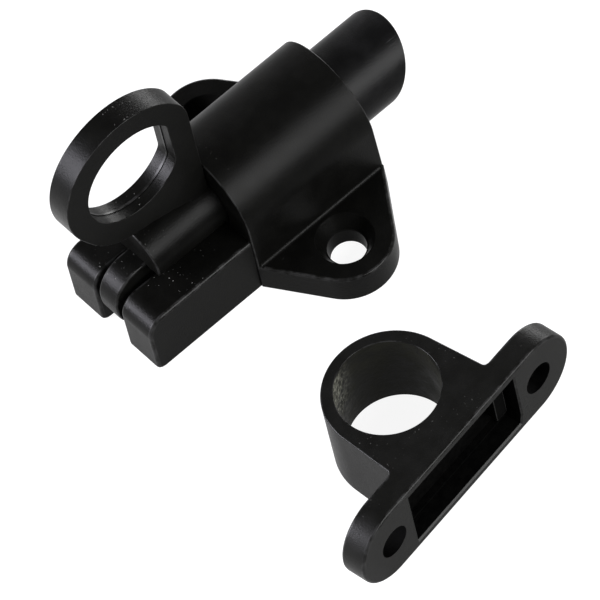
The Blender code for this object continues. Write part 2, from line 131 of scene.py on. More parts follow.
# Pull handle
ROD_R = 5.86 * MM
ROD_FLAT_Z = AXIS_Z - 1.5 * MM
ROD_BACK_X = -29.95 * MM
PLATE_T = 4.7 * MM
PLATE_EDGE = 0.45 * MM
PLATE_FRONT_X = BARREL_BACK_X - GAP
KEEL_TOP = 15.3 * MM
KEEL_LOW = 1.0 * MM
KEEL_TOP_ROUND = 6.0 * MM
KEEL_LOW_ROUND = 7.5 * MM
RING_X, RING_Z, RING_R = -27.75 * MM, 40.55 * MM, 14.2 * MM
RING_CORNER_R = 9.0 * MM
RING_EDGE = 0.65 * MM
HOLE_X, HOLE_Z, HOLE_R = -27.5 * MM, 39.95 * MM, 9.9 * MM
HOLE_FLAT_X = -19.0 * MM
HOLE_CORNER_R = 2.5 * MM
RING_LEAVE = 208                  # angle at which the neck leaves the ring, in degrees
RING_LEG = ((-38.0 * MM, 29.6 * MM), (-36.3 * MM, 25.8 * MM), (-29.0 * MM, 24.7 * MM))
RING_NECK = ((-25.5 * MM, 24.3 * MM), (-21.5 * MM, 22.9 * MM), (-18.4 * MM, 21.8 * MM))
SEAM_RISE = 0.14 * MM             # parting line left by the mould around the finger hole
SEAM_HALF = 0.22 * MM
SEAM_ROOT = 1.0 * MM

# Spring
SPRING_R = 7.0 * MM
WIRE_R = 0.6 * MM
SPRING_TURNS = 4.5
SPRING_DEAD_TURNS = 0.75          # closed turns at each end
SPRING_DEAD_PITCH = 1.35 * MM
SPRING_STEPS = 48                 # points in a turn
WIRE_RESOLUTION = 3

# Keeper
KEEPER_X = -18.83 * MM
KEEPER_Y = -52.06 * MM
KEEPER_YAW = math.radians(9.1)
KEEPER_H = 16.9 * MM
KEEPER_BORE_R = 9.2 * MM
KEEPER_LIP = 0.3 * MM
COLLAR_R = 11.95 * MM
COLLAR_Y = -0.75 * MM
SHOULDER_U = 12.7 * MM
FLANGE_NEAR = 10.9 * MM
FLANGE_FAR = 15.8 * MM
FLANGE_HALF = 27.45 * MM
KEEPER_HOLE_U = 19.4 * MM
KEEPER_SCREW_R = 3.3 * MM
KEEPER_SINK_DEPTH = 2.2 * MM
POCKET_HALF = 14.1 * MM
POCKET_WALL = 1.66 * MM
POCKET_FLOOR = 12.4 * MM
POCKET_END_DRAFT = 0.6 * MM
POCKET_CORNER = 2.0 * MM
CORE_HALF = 11.4 * MM
CORE_FLOOR = 11.1 * MM
CORE_INSET = 0.4 * MM
RIB_U = 11.3 * MM                 # middle of the rib that hangs from the pocket's upper wall
RIB_HALF = 1.3 * MM
RIB_DROP = 9.7 * MM
RIB_FACE = 14.0 * MM

# Camera, as seen from the point it looks at
LOOK_AT = Vector((-18.3, -30.0, 20.0)) * MM
AZIMUTH = math.radians(-29.36)
ELEVATION = math.radians(56.12)
ROLL = math.radians(-14.75)
DISTANCE = 1.4503
LENS_MM = 517.6
SENSOR_MM = 36
CLIP_NEAR, CLIP_FAR = 0.05, 20

# Light: each lamp's name, place, size, power in watts and colour
WHITE = (1.0, 1.0, 1.0)
LIGHTS = (
    ("band", (0.273, -0.83, 0.486), (0.7, 0.7), 22.0, WHITE),
    ("left", (-1.0, -0.12, 0.72), (0.8, 0.8), 4.6, WHITE),
    ("behind_left", (-0.95, 0.6, 0.48), (0.6, 0.6), 50.0, (0.93, 0.92, 1.0)),
    ("behind_right", (0.9, 0.75, 0.15), (0.8, 0.4), 16.0, WHITE),
)
SKY_SPAN = (0.45, 1.0)            # from low in the sky to straight up
SKY_STRENGTH = (0.95, 0.46)
CONTRAST = 0.85

# Floor
FLOOR_SIZE = 6
FLOOR_Z = -0.2 * MM
FLOOR_DARK, FLOOR_LIGHT = (0.1, 0.1, 0.1), (0.12, 0.12, 0.12)
PAINTED_POOL_SPAN = (-60 * MM, -36 * MM)  # along X, from behind the latch, where a painted pool of light makes the floor glow brightest, to under the rails' ends
# glow behind the latch and under the rest: the brighter glow behind is a painted pool of light
GLOW_WITH_PAINTED_POOL = (2.0, 0.91)

# Colours of the finishes
BLACK = (0.0021, 0.0021, 0.0019)
SOFT_BLACK = (0.0031, 0.0031, 0.0028)
FADED_BLACK = (0.0045, 0.0045, 0.0042)
# paler colour of the rounded edges: partly rubbed wear, partly a painted edge highlight
RUBBED_AND_HIGHLIT = (0.014, 0.014, 0.014)
BOLT_DARK, BOLT_LIGHT = (0.0025, 0.0025, 0.0026), (0.0045, 0.0045, 0.0047)
BORE_DARK, BORE_LIGHT = (0.002, 0.002, 0.0013), (0.008, 0.008, 0.0055)
# darker than the black coat, for the pocket, its core, the rib and the keeper's screw holes: painted shade
# in the recesses
CORE_SHADE_DARK, CORE_SHADE_LIGHT = (0.0008, 0.0008, 0.0008), (0.0018, 0.0018, 0.0017)
DUST = (0.3, 0.3, 0.29)
SCRATCH = (0.12, 0.12, 0.125)
PATCH = (0.11, 0.11, 0.092)
FLAKE = (0.3, 0.3, 0.26)
SPRING_TONE, PIN_TONE = (0.5, 0.5, 0.52), (0.55, 0.55, 0.56)

# Dust: its strength, and the two places along X between which it fades out
HOUSING_DUST = (0.5, -15 * MM, -9 * MM)
HANDLE_DUST = (0.3, -18 * MM, -14 * MM)
KEEPER_DUST = (0.12, 100 * MM, 110 * MM)    # both places are past the keeper, so this doesn't fade
NO_DUST = (0.0, 0.0, 0.0)

# Texture
FLAKES_AND_LIGHT_X = KEEPER_X - 0.65 * KEEPER_BORE_R    # the keeper's bore flakes most behind this place, on its lit side, and is painted paler there: partly flaking, partly painted light
NOISE_ROUGHNESS = 0.6

# Axes of the planes that outlines are drawn in: columns are outline X, outline Y, normal.
FLAT = Matrix.Identity(4)
SIDE = Matrix(((1, 0, 0, 0), (0, 0, -1, 0), (0, 1, 0, 0), (0, 0, 0, 1)))
END = Matrix(((0, 0, 1, 0), (1, 0, 0, 0), (0, 1, 0, 0), (0, 0, 0, 1)))


# ---------------------------------------------------------------- outlines

def arc(cx, cy, radius, start, end):
    """Points on a circle from one angle to another, in degrees, both ends included."""
    sweep = math.radians(end - start)
    count = max(2, math.ceil(abs(sweep) / ARC_STEP) + 1)
    angles = [math.radians(start) + sweep * i / (count - 1) for i in range(count)]
    return [(cx + radius * math.cos(a), cy + radius * math.sin(a)) for a in angles]


def bend(start, pull_a, pull_b, end):
    """Points on a cubic curve that leaves start towards pull_a and reaches end from pull_b."""
    points = []
    for i in range(BEND_STEPS + 1):
        t = i / BEND_STEPS
        weights = ((1 - t) ** 3, 3 * t * (1 - t) ** 2, 3 * t * t * (1 - t), t ** 3)
        corners = (start, pull_a, pull_b, end)
        points.append(tuple(sum(w * p[k] for w, p in zip(weights, corners)) for k in (0, 1)))
    return points


def tangent_angle(px, py, cx, cy, radius, side):
    """Angle in degrees, seen from the circle's centre, where the line from (px, py) touches it."""
    away = math.atan2(py - cy, px - cx)
    return math.degrees(away + side * math.acos(radius / math.hypot(px - cx, py - cy)))


def grown(ring, amount):
    """The outline moved outwards by amount, for a ring that runs counter-clockwise."""
    moved = []
    for i, (x, y) in enumerate(ring):
        ax, ay = ring[i - 1]
        bx, by = ring[(i + 1) % len(ring)]
        one = Vector((y - ay, ax - x)).normalized()
        two = Vector((by - y, x - bx)).normalized()
        middle = (one + two).normalized()
        reach = amount / max(0.5, middle.dot(one))
        moved.append((x + middle.x * reach, y + middle.y * reach))
    return moved


# ---------------------------------------------------------------- solids

def object_of(name, mesh):
    """An object of the mesh, with a stand-in material in every slot that it lacks."""
    obj = bpy.data.objects.new(name, mesh)
    bpy.context.scene.collection.objects.link(obj)
    for stand_in in STAND_INS[len(mesh.materials):]:
        mesh.materials.append(stand_in)
    return obj


def mesh_of(obj):
    """Replaces an object by a plain mesh of what it evaluates to, in world space."""
    bpy.context.view_layer.update()
    graph = bpy.context.evaluated_depsgraph_get()
    mesh = bpy.data.meshes.new_from_object(obj.evaluated_get(graph))
    mesh.transform(obj.matrix_world)
    name = obj.name
    bpy.data.objects.remove(obj, do_unlink=True)
    shape = bmesh.new()
    shape.from_mesh(mesh)
    bmesh.ops.remove_doubles(shape, verts=shape.verts, dist=MERGE)
    shape.to_mesh(mesh)
    shape.free()
    mesh.name = name
    return object_of(name, mesh)


def paint_faces(obj, slot):
    """Gives every face of an object the same material slot."""
    for face in obj.data.polygons:
        face.material_index = slot
    return obj


def rounded(obj, width):
    """Rounds the sharp edges; the rounding takes the worn finish, whose paler colour is partly wear and
    partly a painted edge highlight.
    """
    bevel = obj.modifiers.new("rounded_edges", "BEVEL")
    bevel.width = width
    bevel.segments = EDGE_SEGMENTS
    bevel.limit_method = "ANGLE"
    bevel.angle_limit = EDGE_ANGLE
    bevel.material = WORN_AND_HIGHLIT
    return mesh_of(obj)


def joined_faces(obj):
    """Merges the flat faces of a solid into as few as they can be."""
    shape = bmesh.new()
    shape.from_mesh(obj.data)
    bmesh.ops.dissolve_limit(shape, angle_limit=FLAT_ANGLE, verts=shape.verts, edges=shape.edges)
    shape.to_mesh(obj.data)
    shape.free()


def plate(name, outlines, plane, low, high, edge=0.0, slot=COAT):
    """A flat outline, with holes if it has more than one ring, from low to high along its normal."""
    curve = bpy.data.curves.new(name, "CURVE")
    curve.dimensions = "2D"
    curve.fill_mode = "BOTH"
    curve.extrude = (high - low) / 2
    for ring in outlines:
        spline = curve.splines.new("POLY")
        spline.points.add(len(ring) - 1)
        for point, (x, y) in zip(spline.points, ring):
            point.co = (x, y, 0, 1)
        spline.use_cyclic_u = True
    obj = bpy.data.objects.new(name, curve)
    bpy.context.scene.collection.objects.link(obj)
    obj.matrix_world = plane @ Matrix.Translation((0, 0, (low + high) / 2))
    solid = paint_faces(mesh_of(obj), slot)
    joined_faces(solid)
    return rounded(solid, edge) if edge else solid


def funnel(name, ring, plane, low, high, spread):
    """A solid between an outline at low and the same outline grown by spread at high."""
    wide = grown(ring, spread)
    shape = bmesh.new()
    bottom = [shape.verts.new((x, y, low)) for x, y in ring]
    top = [shape.verts.new((x, y, high)) for x, y in wide]
    shape.faces.new(list(reversed(bottom)))
    shape.faces.new(top)
    for i in range(len(ring)):
        k = (i + 1) % len(ring)
        shape.faces.new((bottom[i], bottom[k], top[k], top[i]))
    bmesh.ops.recalc_face_normals(shape, faces=shape.faces)
    mesh = bpy.data.meshes.new(name)
    shape.to_mesh(mesh)
    shape.free()
    obj = object_of(name, mesh)
    obj.matrix_world = plane
    return paint_faces(mesh_of(obj), WORN_AND_HIGHLIT)


def turned(name, profile, place, steps, slot=COAT):
    """A solid of revolution about its own Z: profile lists (height, radius) from the top down."""
    mesh = bpy.data.meshes.new(name)
    shape = bmesh.new()
    verts = [shape.verts.new((r, 0, x)) for x, r in profile]
    for a, b in zip(verts, verts[1:]):
        shape.edges.new((a, b))
    shape.to_mesh(mesh)
    shape.free()
    obj = object_of(name, mesh)
    screw = obj.modifiers.new("turn", "SCREW")
    screw.axis = "Z"
    screw.steps = steps
    screw.render_steps = steps
    screw.use_merge_vertices = True
    screw.merge_threshold = MERGE
    obj.matrix_world = place
    return paint_faces(mesh_of(obj), slot)


def along(axis, x, y, z):
    """Placement of a turned solid whose own Z runs along the given direction from (x, y, z)."""
    turn = Vector((0, 0, 1)).rotation_difference(Vector(axis)).to_matrix().to_4x4()
    return Matrix.Translation((x, y, z)) @ turn


def rod(name, radius, start, end, axis_point, axis, steps, edge=0.0):
    """A cylinder from start to end, measured along axis from axis_point, with rounded rims."""
    profile = [(end, 0), (end, radius), (start, radius), (start, 0)]
    if edge:
        rim = [(edge * math.cos(a), edge * math.sin(a)) for a in QUARTER]
        upper = [(end - edge + y, radius - edge + x) for x, y in reversed(rim)]
        lower = [(start + edge - y, radius - edge + x) for x, y in rim]
        profile = [(end, 0), *upper, *lower, (start, 0)]
    return turned(name, profile, along(axis, *axis_point), steps)


def flared(radius, start, end, lip):
    """Profile of a hole cutter whose two mouths open out by a rounded lip."""
    upper = [(end - lip + lip * math.sin(a), radius + lip - lip * math.cos(a)) for a in QUARTER]
    lower = [(start + lip - lip * math.sin(a), radius + lip - lip * math.cos(a)) for a in QUARTER]
    return [(end + OVERSHOOT, 0), (end + OVERSHOOT, radius + lip), *reversed(upper), *lower,
            (start - OVERSHOOT, radius + lip), (start - OVERSHOOT, 0)]


def block(name, low, high, edge=0.0):
    """A box between two opposite corners."""
    mesh = bpy.data.meshes.new(name)
    shape = bmesh.new()
    bmesh.ops.create_cube(shape, size=1)
    bmesh.ops.scale(shape, vec=[b - a for a, b in zip(low, high)], verts=shape.verts)
    bmesh.ops.translate(shape, vec=[(a + b) / 2 for a, b in zip(low, high)], verts=shape.verts)
    shape.to_mesh(mesh)
    shape.free()
    obj = object_of(name, mesh)
    return rounded(obj, edge) if edge else obj


def combine(target, tool, operation):
    """Joins a tool to a solid, or cuts it away, and drops the tool."""
    modifier = target.modifiers.new(tool.name, "BOOLEAN")
    modifier.object = tool
    modifier.operation = operation
    modifier.solver = "EXACT"
    result = mesh_of(target)
    bpy.data.objects.remove(tool, do_unlink=True)
    return result


def finish(obj, materials, body, node):
    """Final shading and materials of a piece, and what it stands for."""
    for i, entry in enumerate(materials):
        obj.data.materials[i] = entry
    while len(obj.data.materials) > len(materials):
        obj.data.materials.pop()
    obj.data.shade_smooth()
    obj.data.set_sharp_from_angle(angle=SHADE_ANGLE)
    normals = obj.modifiers.new("face_weighted_normals", "WEIGHTED_NORMAL")
    normals.keep_sharp = True
    normals.weight = NORMAL_WEIGHT
    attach(obj, body)
    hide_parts(node)
    return obj


# ---------------------------------------------------------------- housing

def barrel_outline():
    """Section of the barrel, in Y and Z."""
    dome = arc(0, AXIS_Z, BARREL_R, 0, 180)
    return [(-BARREL_FOOT, BARREL_LOW), (BARREL_FOOT, BARREL_LOW), *dome]


def ear_outline(side):
    """One ear, from inside the barrel to its tip; side is +1 or -1 in Y."""
    end = BARREL_FRONT_X + FRONT_DRAFT + EAR_PROUD
    start = BARREL_BACK_X - EAR_PROUD
    root = BARREL_R - ROOT_DEPTH
    front = tangent_angle(end, BARREL_R, 0, EAR_TIP_Y, EAR_TIP_R, 1)
    back = tangent_angle(start, BARREL_R, 0, EAR_TIP_Y, EAR_TIP_R, -1)
    tip = arc(0, EAR_TIP_Y, EAR_TIP_R, back % 360, front)
    ring = [(start + ROOT_DRAFT, root), (start, BARREL_R), *tip, (end, BARREL_R), (end - ROOT_DRAFT, root)]
    return [(x, side * y) for x, y in ring]


def fillet_outline(side):
    """Section of the fillet between an ear and the barrel, in Y and Z."""
    flank = BARREL_FOOT - FILLET_INSET
    hollow = arc(flank + FILLET, EAR_T + FILLET, FILLET, FILLET_START, FILLET_END)
    ring = [(flank - FILLET, EAR_T - FILLET), (hollow[0][0], EAR_T - FILLET), *hollow,
            (flank - FILLET, hollow[-1][1])]
    return [(side * y, z) for y, z in ring]


def rail_outline():
    """Side view of a rail, from inside the barrel's rear wall to the rail's end."""
    top = RAIL_TOP - RAIL_TOP_ROUND
    front = BARREL_BACK_X + REAR_WALL / 2
    back = arc(RAIL_BACK_X + RAIL_TOP_ROUND, top, RAIL_TOP_ROUND, 90, 180)
    low = arc(RAIL_BACK_X + RAIL_LOW_ROUND, RAIL_LOW_Z, RAIL_LOW_ROUND, 180, 180 + RAIL_LOW_TURN)
    x, z = low[-1]
    run = (z - RAIL_LOW) * math.tan(math.radians(RAIL_LOW_TURN))
    return [(front, RAIL_TOP), *back, *low, (x + run, RAIL_LOW), (front, RAIL_LOW)]


def countersink(name, place, depth, screw_r, sink_depth, slot=COAT):
    """Cutter for a countersunk screw hole; its own +Z leaves the mouth at zero."""
    profile = [
        (OVERSHOOT, 0), (OVERSHOOT, SINK_R + SINK_LIP), (0, SINK_R + SINK_LIP),
        (-SINK_BULGE, SINK_R + SINK_BULGE), (-SINK_LIP, SINK_R),
        (-sink_depth, SINK_LOW_R), (-sink_depth - SINK_STEP, screw_r),
        (-depth, screw_r - SCREW_DRAFT), (-depth - OVERSHOOT, screw_r - SCREW_DRAFT),
        (-depth - OVERSHOOT, 0),
    ]
    return turned(name, profile, place, SCREW_STEPS, slot)


def rod_section(radius, flat_z):
    """Section of the flat-bottomed rod or of its hole, in Y and Z."""
    drop = math.degrees(math.asin((AXIS_Z - flat_z) / radius))
    return arc(0, AXIS_Z, radius, -drop, 180 + drop)


def make_housing():
    """The housing: bored barrel with a leaning front, two screw ears, and two rails behind it."""
    body = plate("housing_fine", [barrel_outline()], END, BARREL_BACK_X, BARREL_FRONT_X)
    for vertex in body.data.vertices:
        if vertex.co.x > 0:
            vertex.co.x += FRONT_DRAFT * (1 - vertex.co.z / (AXIS_Z + BARREL_R))
    body = rounded(body, BARREL_EDGE)
    for side in (1, -1):
        body = combine(body, plate("ear", [ear_outline(side)], FLAT, EAR_LOW, EAR_T, CAST_EDGE), "UNION")
        fillet = plate("fillet", [fillet_outline(side)], END, BARREL_BACK_X + CAST_EDGE,
                       BARREL_FRONT_X - CAST_EDGE)
        body = combine(body, fillet, "UNION")
    for low in (SLOT_HALF, -RAIL_HALF):
        high = low + RAIL_HALF - SLOT_HALF
        body = combine(body, plate("rail", [rail_outline()], SIDE, -high, -low, RAIL_EDGE), "UNION")
    bore_start = BARREL_BACK_X + REAR_WALL
    mouth = BARREL_FRONT_X + FRONT_DRAFT / 2
    reach = -3 * RAIL_BACK_X
    cutters = [
        block("foot", (-reach, -reach, -reach), (reach, reach, 0)),
        turned("bore", [(mouth + OVERSHOOT, 0), (mouth + OVERSHOOT, BORE_R + BOLT_EDGE),
                        (mouth, BORE_R + BOLT_EDGE), (mouth - BOLT_EDGE, BORE_R),
                        (bore_start, BORE_R), (bore_start, 0)],
               along((1, 0, 0), 0, 0, AXIS_Z), BORE_STEPS, RAW),
        plate("rear_hole", [rod_section(ROD_HOLE_R, ROD_FLAT_Z - GAP)], END,
              BARREL_BACK_X - OVERSHOOT, bore_start + OVERSHOOT),
    ]
    for y in (EAR_HOLE_Y, -EAR_HOLE_Y):
        cutters.append(countersink("screw", along((0, 0, 1), 0, y, EAR_T), EAR_T, SCREW_R, SINK_DEPTH))
    for cutter in cutters:
        body = combine(body, cutter, "DIFFERENCE")
    return body


# ---------------------------------------------------------------- bolt and handle

def pin_hole():
    """Cutter for the cross hole that the pin sits in."""
    return rod("pin_hole", PIN_R + GAP, -BARREL_R, BARREL_R, (PIN_X, 0, AXIS_Z), (0, 1, 0), PIN_STEPS)


def make_bolt():
    """The bolt: round, bevelled at its nose, with a blind hole for the handle's spigot."""
    longest = BOLT_BEVEL_X + 2 * BOLT_R
    bolt = rod("bolt_fine", BOLT_R, BOLT_SHOULDER_X, longest, (0, 0, AXIS_Z), (1, 0, 0), BOLT_STEPS)
    reach = 4 * BOLT_R
    bevel = block("bevel", (0, -reach, -reach), (reach, reach, reach))
    bevel.matrix_world = Matrix.Translation((BOLT_BEVEL_X, 0, AXIS_Z)) @ Matrix.Rotation(
        math.atan(BEVEL_SLOPE), 4, "Y")
    bolt = combine(bolt, bevel, "DIFFERENCE")
    bolt = rounded(bolt, BOLT_EDGE)
    blind = rod("blind", SPIGOT_R + GAP, BOLT_SHOULDER_X - OVERSHOOT,
                BOLT_SHOULDER_X + SPIGOT_LEN + GAP, (0, 0, AXIS_Z), (1, 0, 0), SPIGOT_STEPS)
    return combine(bolt, combine(blind, pin_hole(), "UNION"), "DIFFERENCE")


def keel_outline():
    """Side view of the keel that runs between the rails."""
    top = arc(RAIL_BACK_X + KEEL_TOP_ROUND, KEEL_TOP - KEEL_TOP_ROUND, KEEL_TOP_ROUND, 90, 180)
    low = arc(RAIL_BACK_X + KEEL_LOW_ROUND, KEEL_LOW + KEEL_LOW_ROUND, KEEL_LOW_ROUND, 180, 270)
    return [(PLATE_FRONT_X, KEEL_TOP), *top, *low, (PLATE_FRONT_X, KEEL_LOW)]


def corner_arc(cx, cz, radius, flat_x, corner_r, side):
    """The rounding between a circle and the upright line at flat_x; side is +1 above, -1 below."""
    x = flat_x - corner_r
    rise = side * math.sqrt((radius - corner_r) ** 2 - (x - cx) ** 2)
    meet = math.degrees(math.atan2(rise, x - cx))
    return arc(x, cz + rise, corner_r, 0, meet), meet


def ring_outline():
    """Side view of the ring and its neck, down to the rod's axis."""
    corner, meet = corner_arc(RING_X, RING_Z, RING_R, PLATE_FRONT_X, RING_CORNER_R, 1)
    crown = arc(RING_X, RING_Z, RING_R, meet, RING_LEAVE)
    leg = bend(crown[-1], *RING_LEG)
    neck = bend(leg[-1], *RING_NECK)
    return [*corner, *crown[1:], *leg[1:], *neck[1:], (RING_NECK[-1][0], AXIS_Z), (PLATE_FRONT_X, AXIS_Z)]


def finger_hole():
    """Outline of the ring's hole: round, with a flat front side."""
    upper, meet = corner_arc(HOLE_X, HOLE_Z, HOLE_R, HOLE_FLAT_X, HOLE_CORNER_R, 1)
    lower = [(x, 2 * HOLE_Z - z) for x, z in reversed(upper)]
    return [*upper, *arc(HOLE_X, HOLE_Z, HOLE_R, meet, 360 - meet)[1:], *lower[1:]]


def make_handle():
    """The pull handle: rod, keel, ring and spigot in one casting."""
    section = rod_section(ROD_R, ROD_FLAT_Z)
    handle = plate("pull_handle_fine", [section], END, ROD_BACK_X, BOLT_SHOULDER_X - GAP, PLATE_EDGE)
    half = PLATE_T / 2
    parts = [
        plate("keel", [keel_outline()], SIDE, -half, half, PLATE_EDGE),
        plate("ring", [ring_outline(), finger_hole()], SIDE, -half, half, RING_EDGE),
        plate("seam", [grown(finger_hole(), SEAM_ROOT), grown(finger_hole(), -SEAM_RISE)], SIDE,
              -SEAM_HALF, SEAM_HALF, slot=WORN_AND_HIGHLIT),
        rod("spigot", SPIGOT_R, BOLT_SHOULDER_X - SPIGOT_ROOT, BOLT_SHOULDER_X + SPIGOT_LEN,
            (0, 0, AXIS_Z), (1, 0, 0), SPIGOT_STEPS, BOLT_EDGE),
    ]
    for part in parts:
        handle = combine(handle, part, "UNION")
    return combine(handle, pin_hole(), "DIFFERENCE")


def spring_advance(turn, length):
    """How far along X the wire has gone after so many turns: closed ends, open middle."""
    open_turns = SPRING_TURNS - 2 * SPRING_DEAD_TURNS
    open_pitch = (length - 2 * SPRING_DEAD_TURNS * SPRING_DEAD_PITCH) / open_turns
    first = min(turn, SPRING_DEAD_TURNS)
    middle = min(max(turn - SPRING_DEAD_TURNS, 0), open_turns)
    last = max(turn - SPRING_DEAD_TURNS - open_turns, 0)
    return (first + last) * SPRING_DEAD_PITCH + middle * open_pitch


def make_spring():
    """The compression spring around the rod, between the rear wall and the bolt."""
    start = BARREL_BACK_X + REAR_WALL + GAP + WIRE_R
    end = BOLT_SHOULDER_X - GAP - WIRE_R
    curve = bpy.data.curves.new("bolt_spring_fine", "CURVE")
    curve.dimensions = "3D"
    curve.bevel_depth = WIRE_R
    curve.bevel_resolution = WIRE_RESOLUTION
    curve.use_fill_caps = True
    spline = curve.splines.new("POLY")
    spline.points.add(round(SPRING_TURNS * SPRING_STEPS))
    for i, point in enumerate(spline.points):
        turn = i / SPRING_STEPS
        angle = 2 * math.pi * turn
        x = start + spring_advance(turn, end - start)
        point.co = (x, SPRING_R * math.cos(angle), AXIS_Z + SPRING_R * math.sin(angle), 1)
    obj = bpy.data.objects.new("bolt_spring_fine", curve)
    bpy.context.scene.collection.objects.link(obj)
    return paint_faces(mesh_of(obj), COAT)


# ---------------------------------------------------------------- keeper

def keeper_frame():
    """Placement of the keeper: its bore is at its origin, and its flange runs along its own X."""
    return Matrix.Translation((KEEPER_X, KEEPER_Y, 0)) @ Matrix.Rotation(KEEPER_YAW, 4, "Z")


def collar_outline():
    """Top view of the collar; its sides run on to the flange, which is at negative Y."""
    foot = -(FLANGE_NEAR + FLANGE_FAR) / 2
    turn_y = -FLANGE_NEAR + FILLET
    corner_u = SHOULDER_U + FILLET
    touch = tangent_angle(SHOULDER_U, turn_y, 0, COLLAR_Y, COLLAR_R, 1)
    right = arc(corner_u, turn_y, FILLET, FILLET_START, 180)
    right = [(corner_u + FILLET, foot), (corner_u + FILLET, -FLANGE_NEAR - GAP), *right]
    left = [(-u, y) for u, y in reversed(right)]
    return [*right, *arc(0, COLLAR_Y, COLLAR_R, touch, 180 - touch), *left]


def flange_outline():
    """Front view of the flange, round at both ends."""
    end_r = KEEPER_H / 2
    centre = FLANGE_HALF - end_r
    return arc(centre, end_r, end_r, -90, 90) + arc(-centre, end_r, end_r, 90, 270)


def pocket_outline():
    """Front view of the pocket in the mounting face, with one lower corner cut off."""
    top = KEEPER_H - POCKET_WALL
    return [(-POCKET_HALF, POCKET_WALL), (POCKET_HALF - POCKET_END_DRAFT, POCKET_WALL),
            (POCKET_HALF, POCKET_WALL + POCKET_CORNER), (POCKET_HALF, top), (-POCKET_HALF, top)]


def make_keeper():
    """The keeper: an upright collar for the bolt on a flange with a cored-out mounting face."""
    place = keeper_frame()
    side = place @ SIDE
    keeper = plate("keeper_fine", [collar_outline()], place, 0, KEEPER_H, CAST_EDGE)
    flange = plate("flange", [flange_outline()], side, FLANGE_NEAR, FLANGE_FAR, CAST_EDGE)
    keeper = combine(keeper, flange, "UNION")
    # the core, pocket, rib and screw holes take the darker coat: painted shade
    core = block("core", (-CORE_HALF, -FLANGE_FAR, POCKET_WALL + CORE_INSET),
                 (CORE_HALF, -CORE_FLOOR, KEEPER_H - POCKET_WALL - CORE_INSET))
    core.matrix_world = place
    paint_faces(core, DULL_PAINTED_SHADE)
    mouths = flared(KEEPER_BORE_R, 0, KEEPER_H, KEEPER_LIP / 2)
    bore = turned("keeper_bore", mouths, place, BOLT_STEPS, RAW)
    # the bore's rims take the paler edge finish: partly wear, partly a painted highlight along them
    for face in bore.data.polygons:
        if not KEEPER_LIP < face.center.z < KEEPER_H - KEEPER_LIP:
            face.material_index = WORN_AND_HIGHLIT
    cutters = [
        bore,
        plate("pocket", [pocket_outline()], side, POCKET_FLOOR, FLANGE_FAR + OVERSHOOT, slot=DULL_PAINTED_SHADE),
        # the pocket's mouth takes the paler edge finish: a painted highlight along its rim
        funnel("pocket_mouth", pocket_outline(), side, FLANGE_FAR - KEEPER_LIP, FLANGE_FAR + KEEPER_LIP,
               2 * KEEPER_LIP),
        core,
    ]
    for u in (-KEEPER_HOLE_U, KEEPER_HOLE_U):
        mouth = place @ Matrix.Translation((u, -FLANGE_NEAR, KEEPER_H / 2)) @ along((0, 1, 0), 0, 0, 0)
        cutters.append(countersink("screw", mouth, FLANGE_FAR - FLANGE_NEAR, KEEPER_SCREW_R,
                                   KEEPER_SINK_DEPTH, DULL_PAINTED_SHADE))
    for cutter in cutters:
        keeper = combine(keeper, cutter, "DIFFERENCE")
    top = KEEPER_H - POCKET_WALL
    rib = block("rib", (RIB_U - RIB_HALF, -RIB_FACE, top - RIB_DROP),
                (RIB_U + RIB_HALF, -(CORE_FLOOR + POCKET_FLOOR) / 2, top + GAP), KEEPER_LIP / 2)
    rib.matrix_world = place
    for face in rib.data.polygons:
        if face.material_index == COAT:
            face.material_index = DULL_PAINTED_SHADE
    return combine(keeper, rib, "UNION")


# ---------------------------------------------------------------- finishes

def set_span(map_range, source, target):
    """Sets the two ends that a Map Range node reads and the two that it gives."""
    for socket, number in zip(("From Min", "From Max"), source):
        map_range.inputs[socket].default_value = number
    for socket, number in zip(("To Min", "To Max"), target):
        map_range.inputs[socket].default_value = number


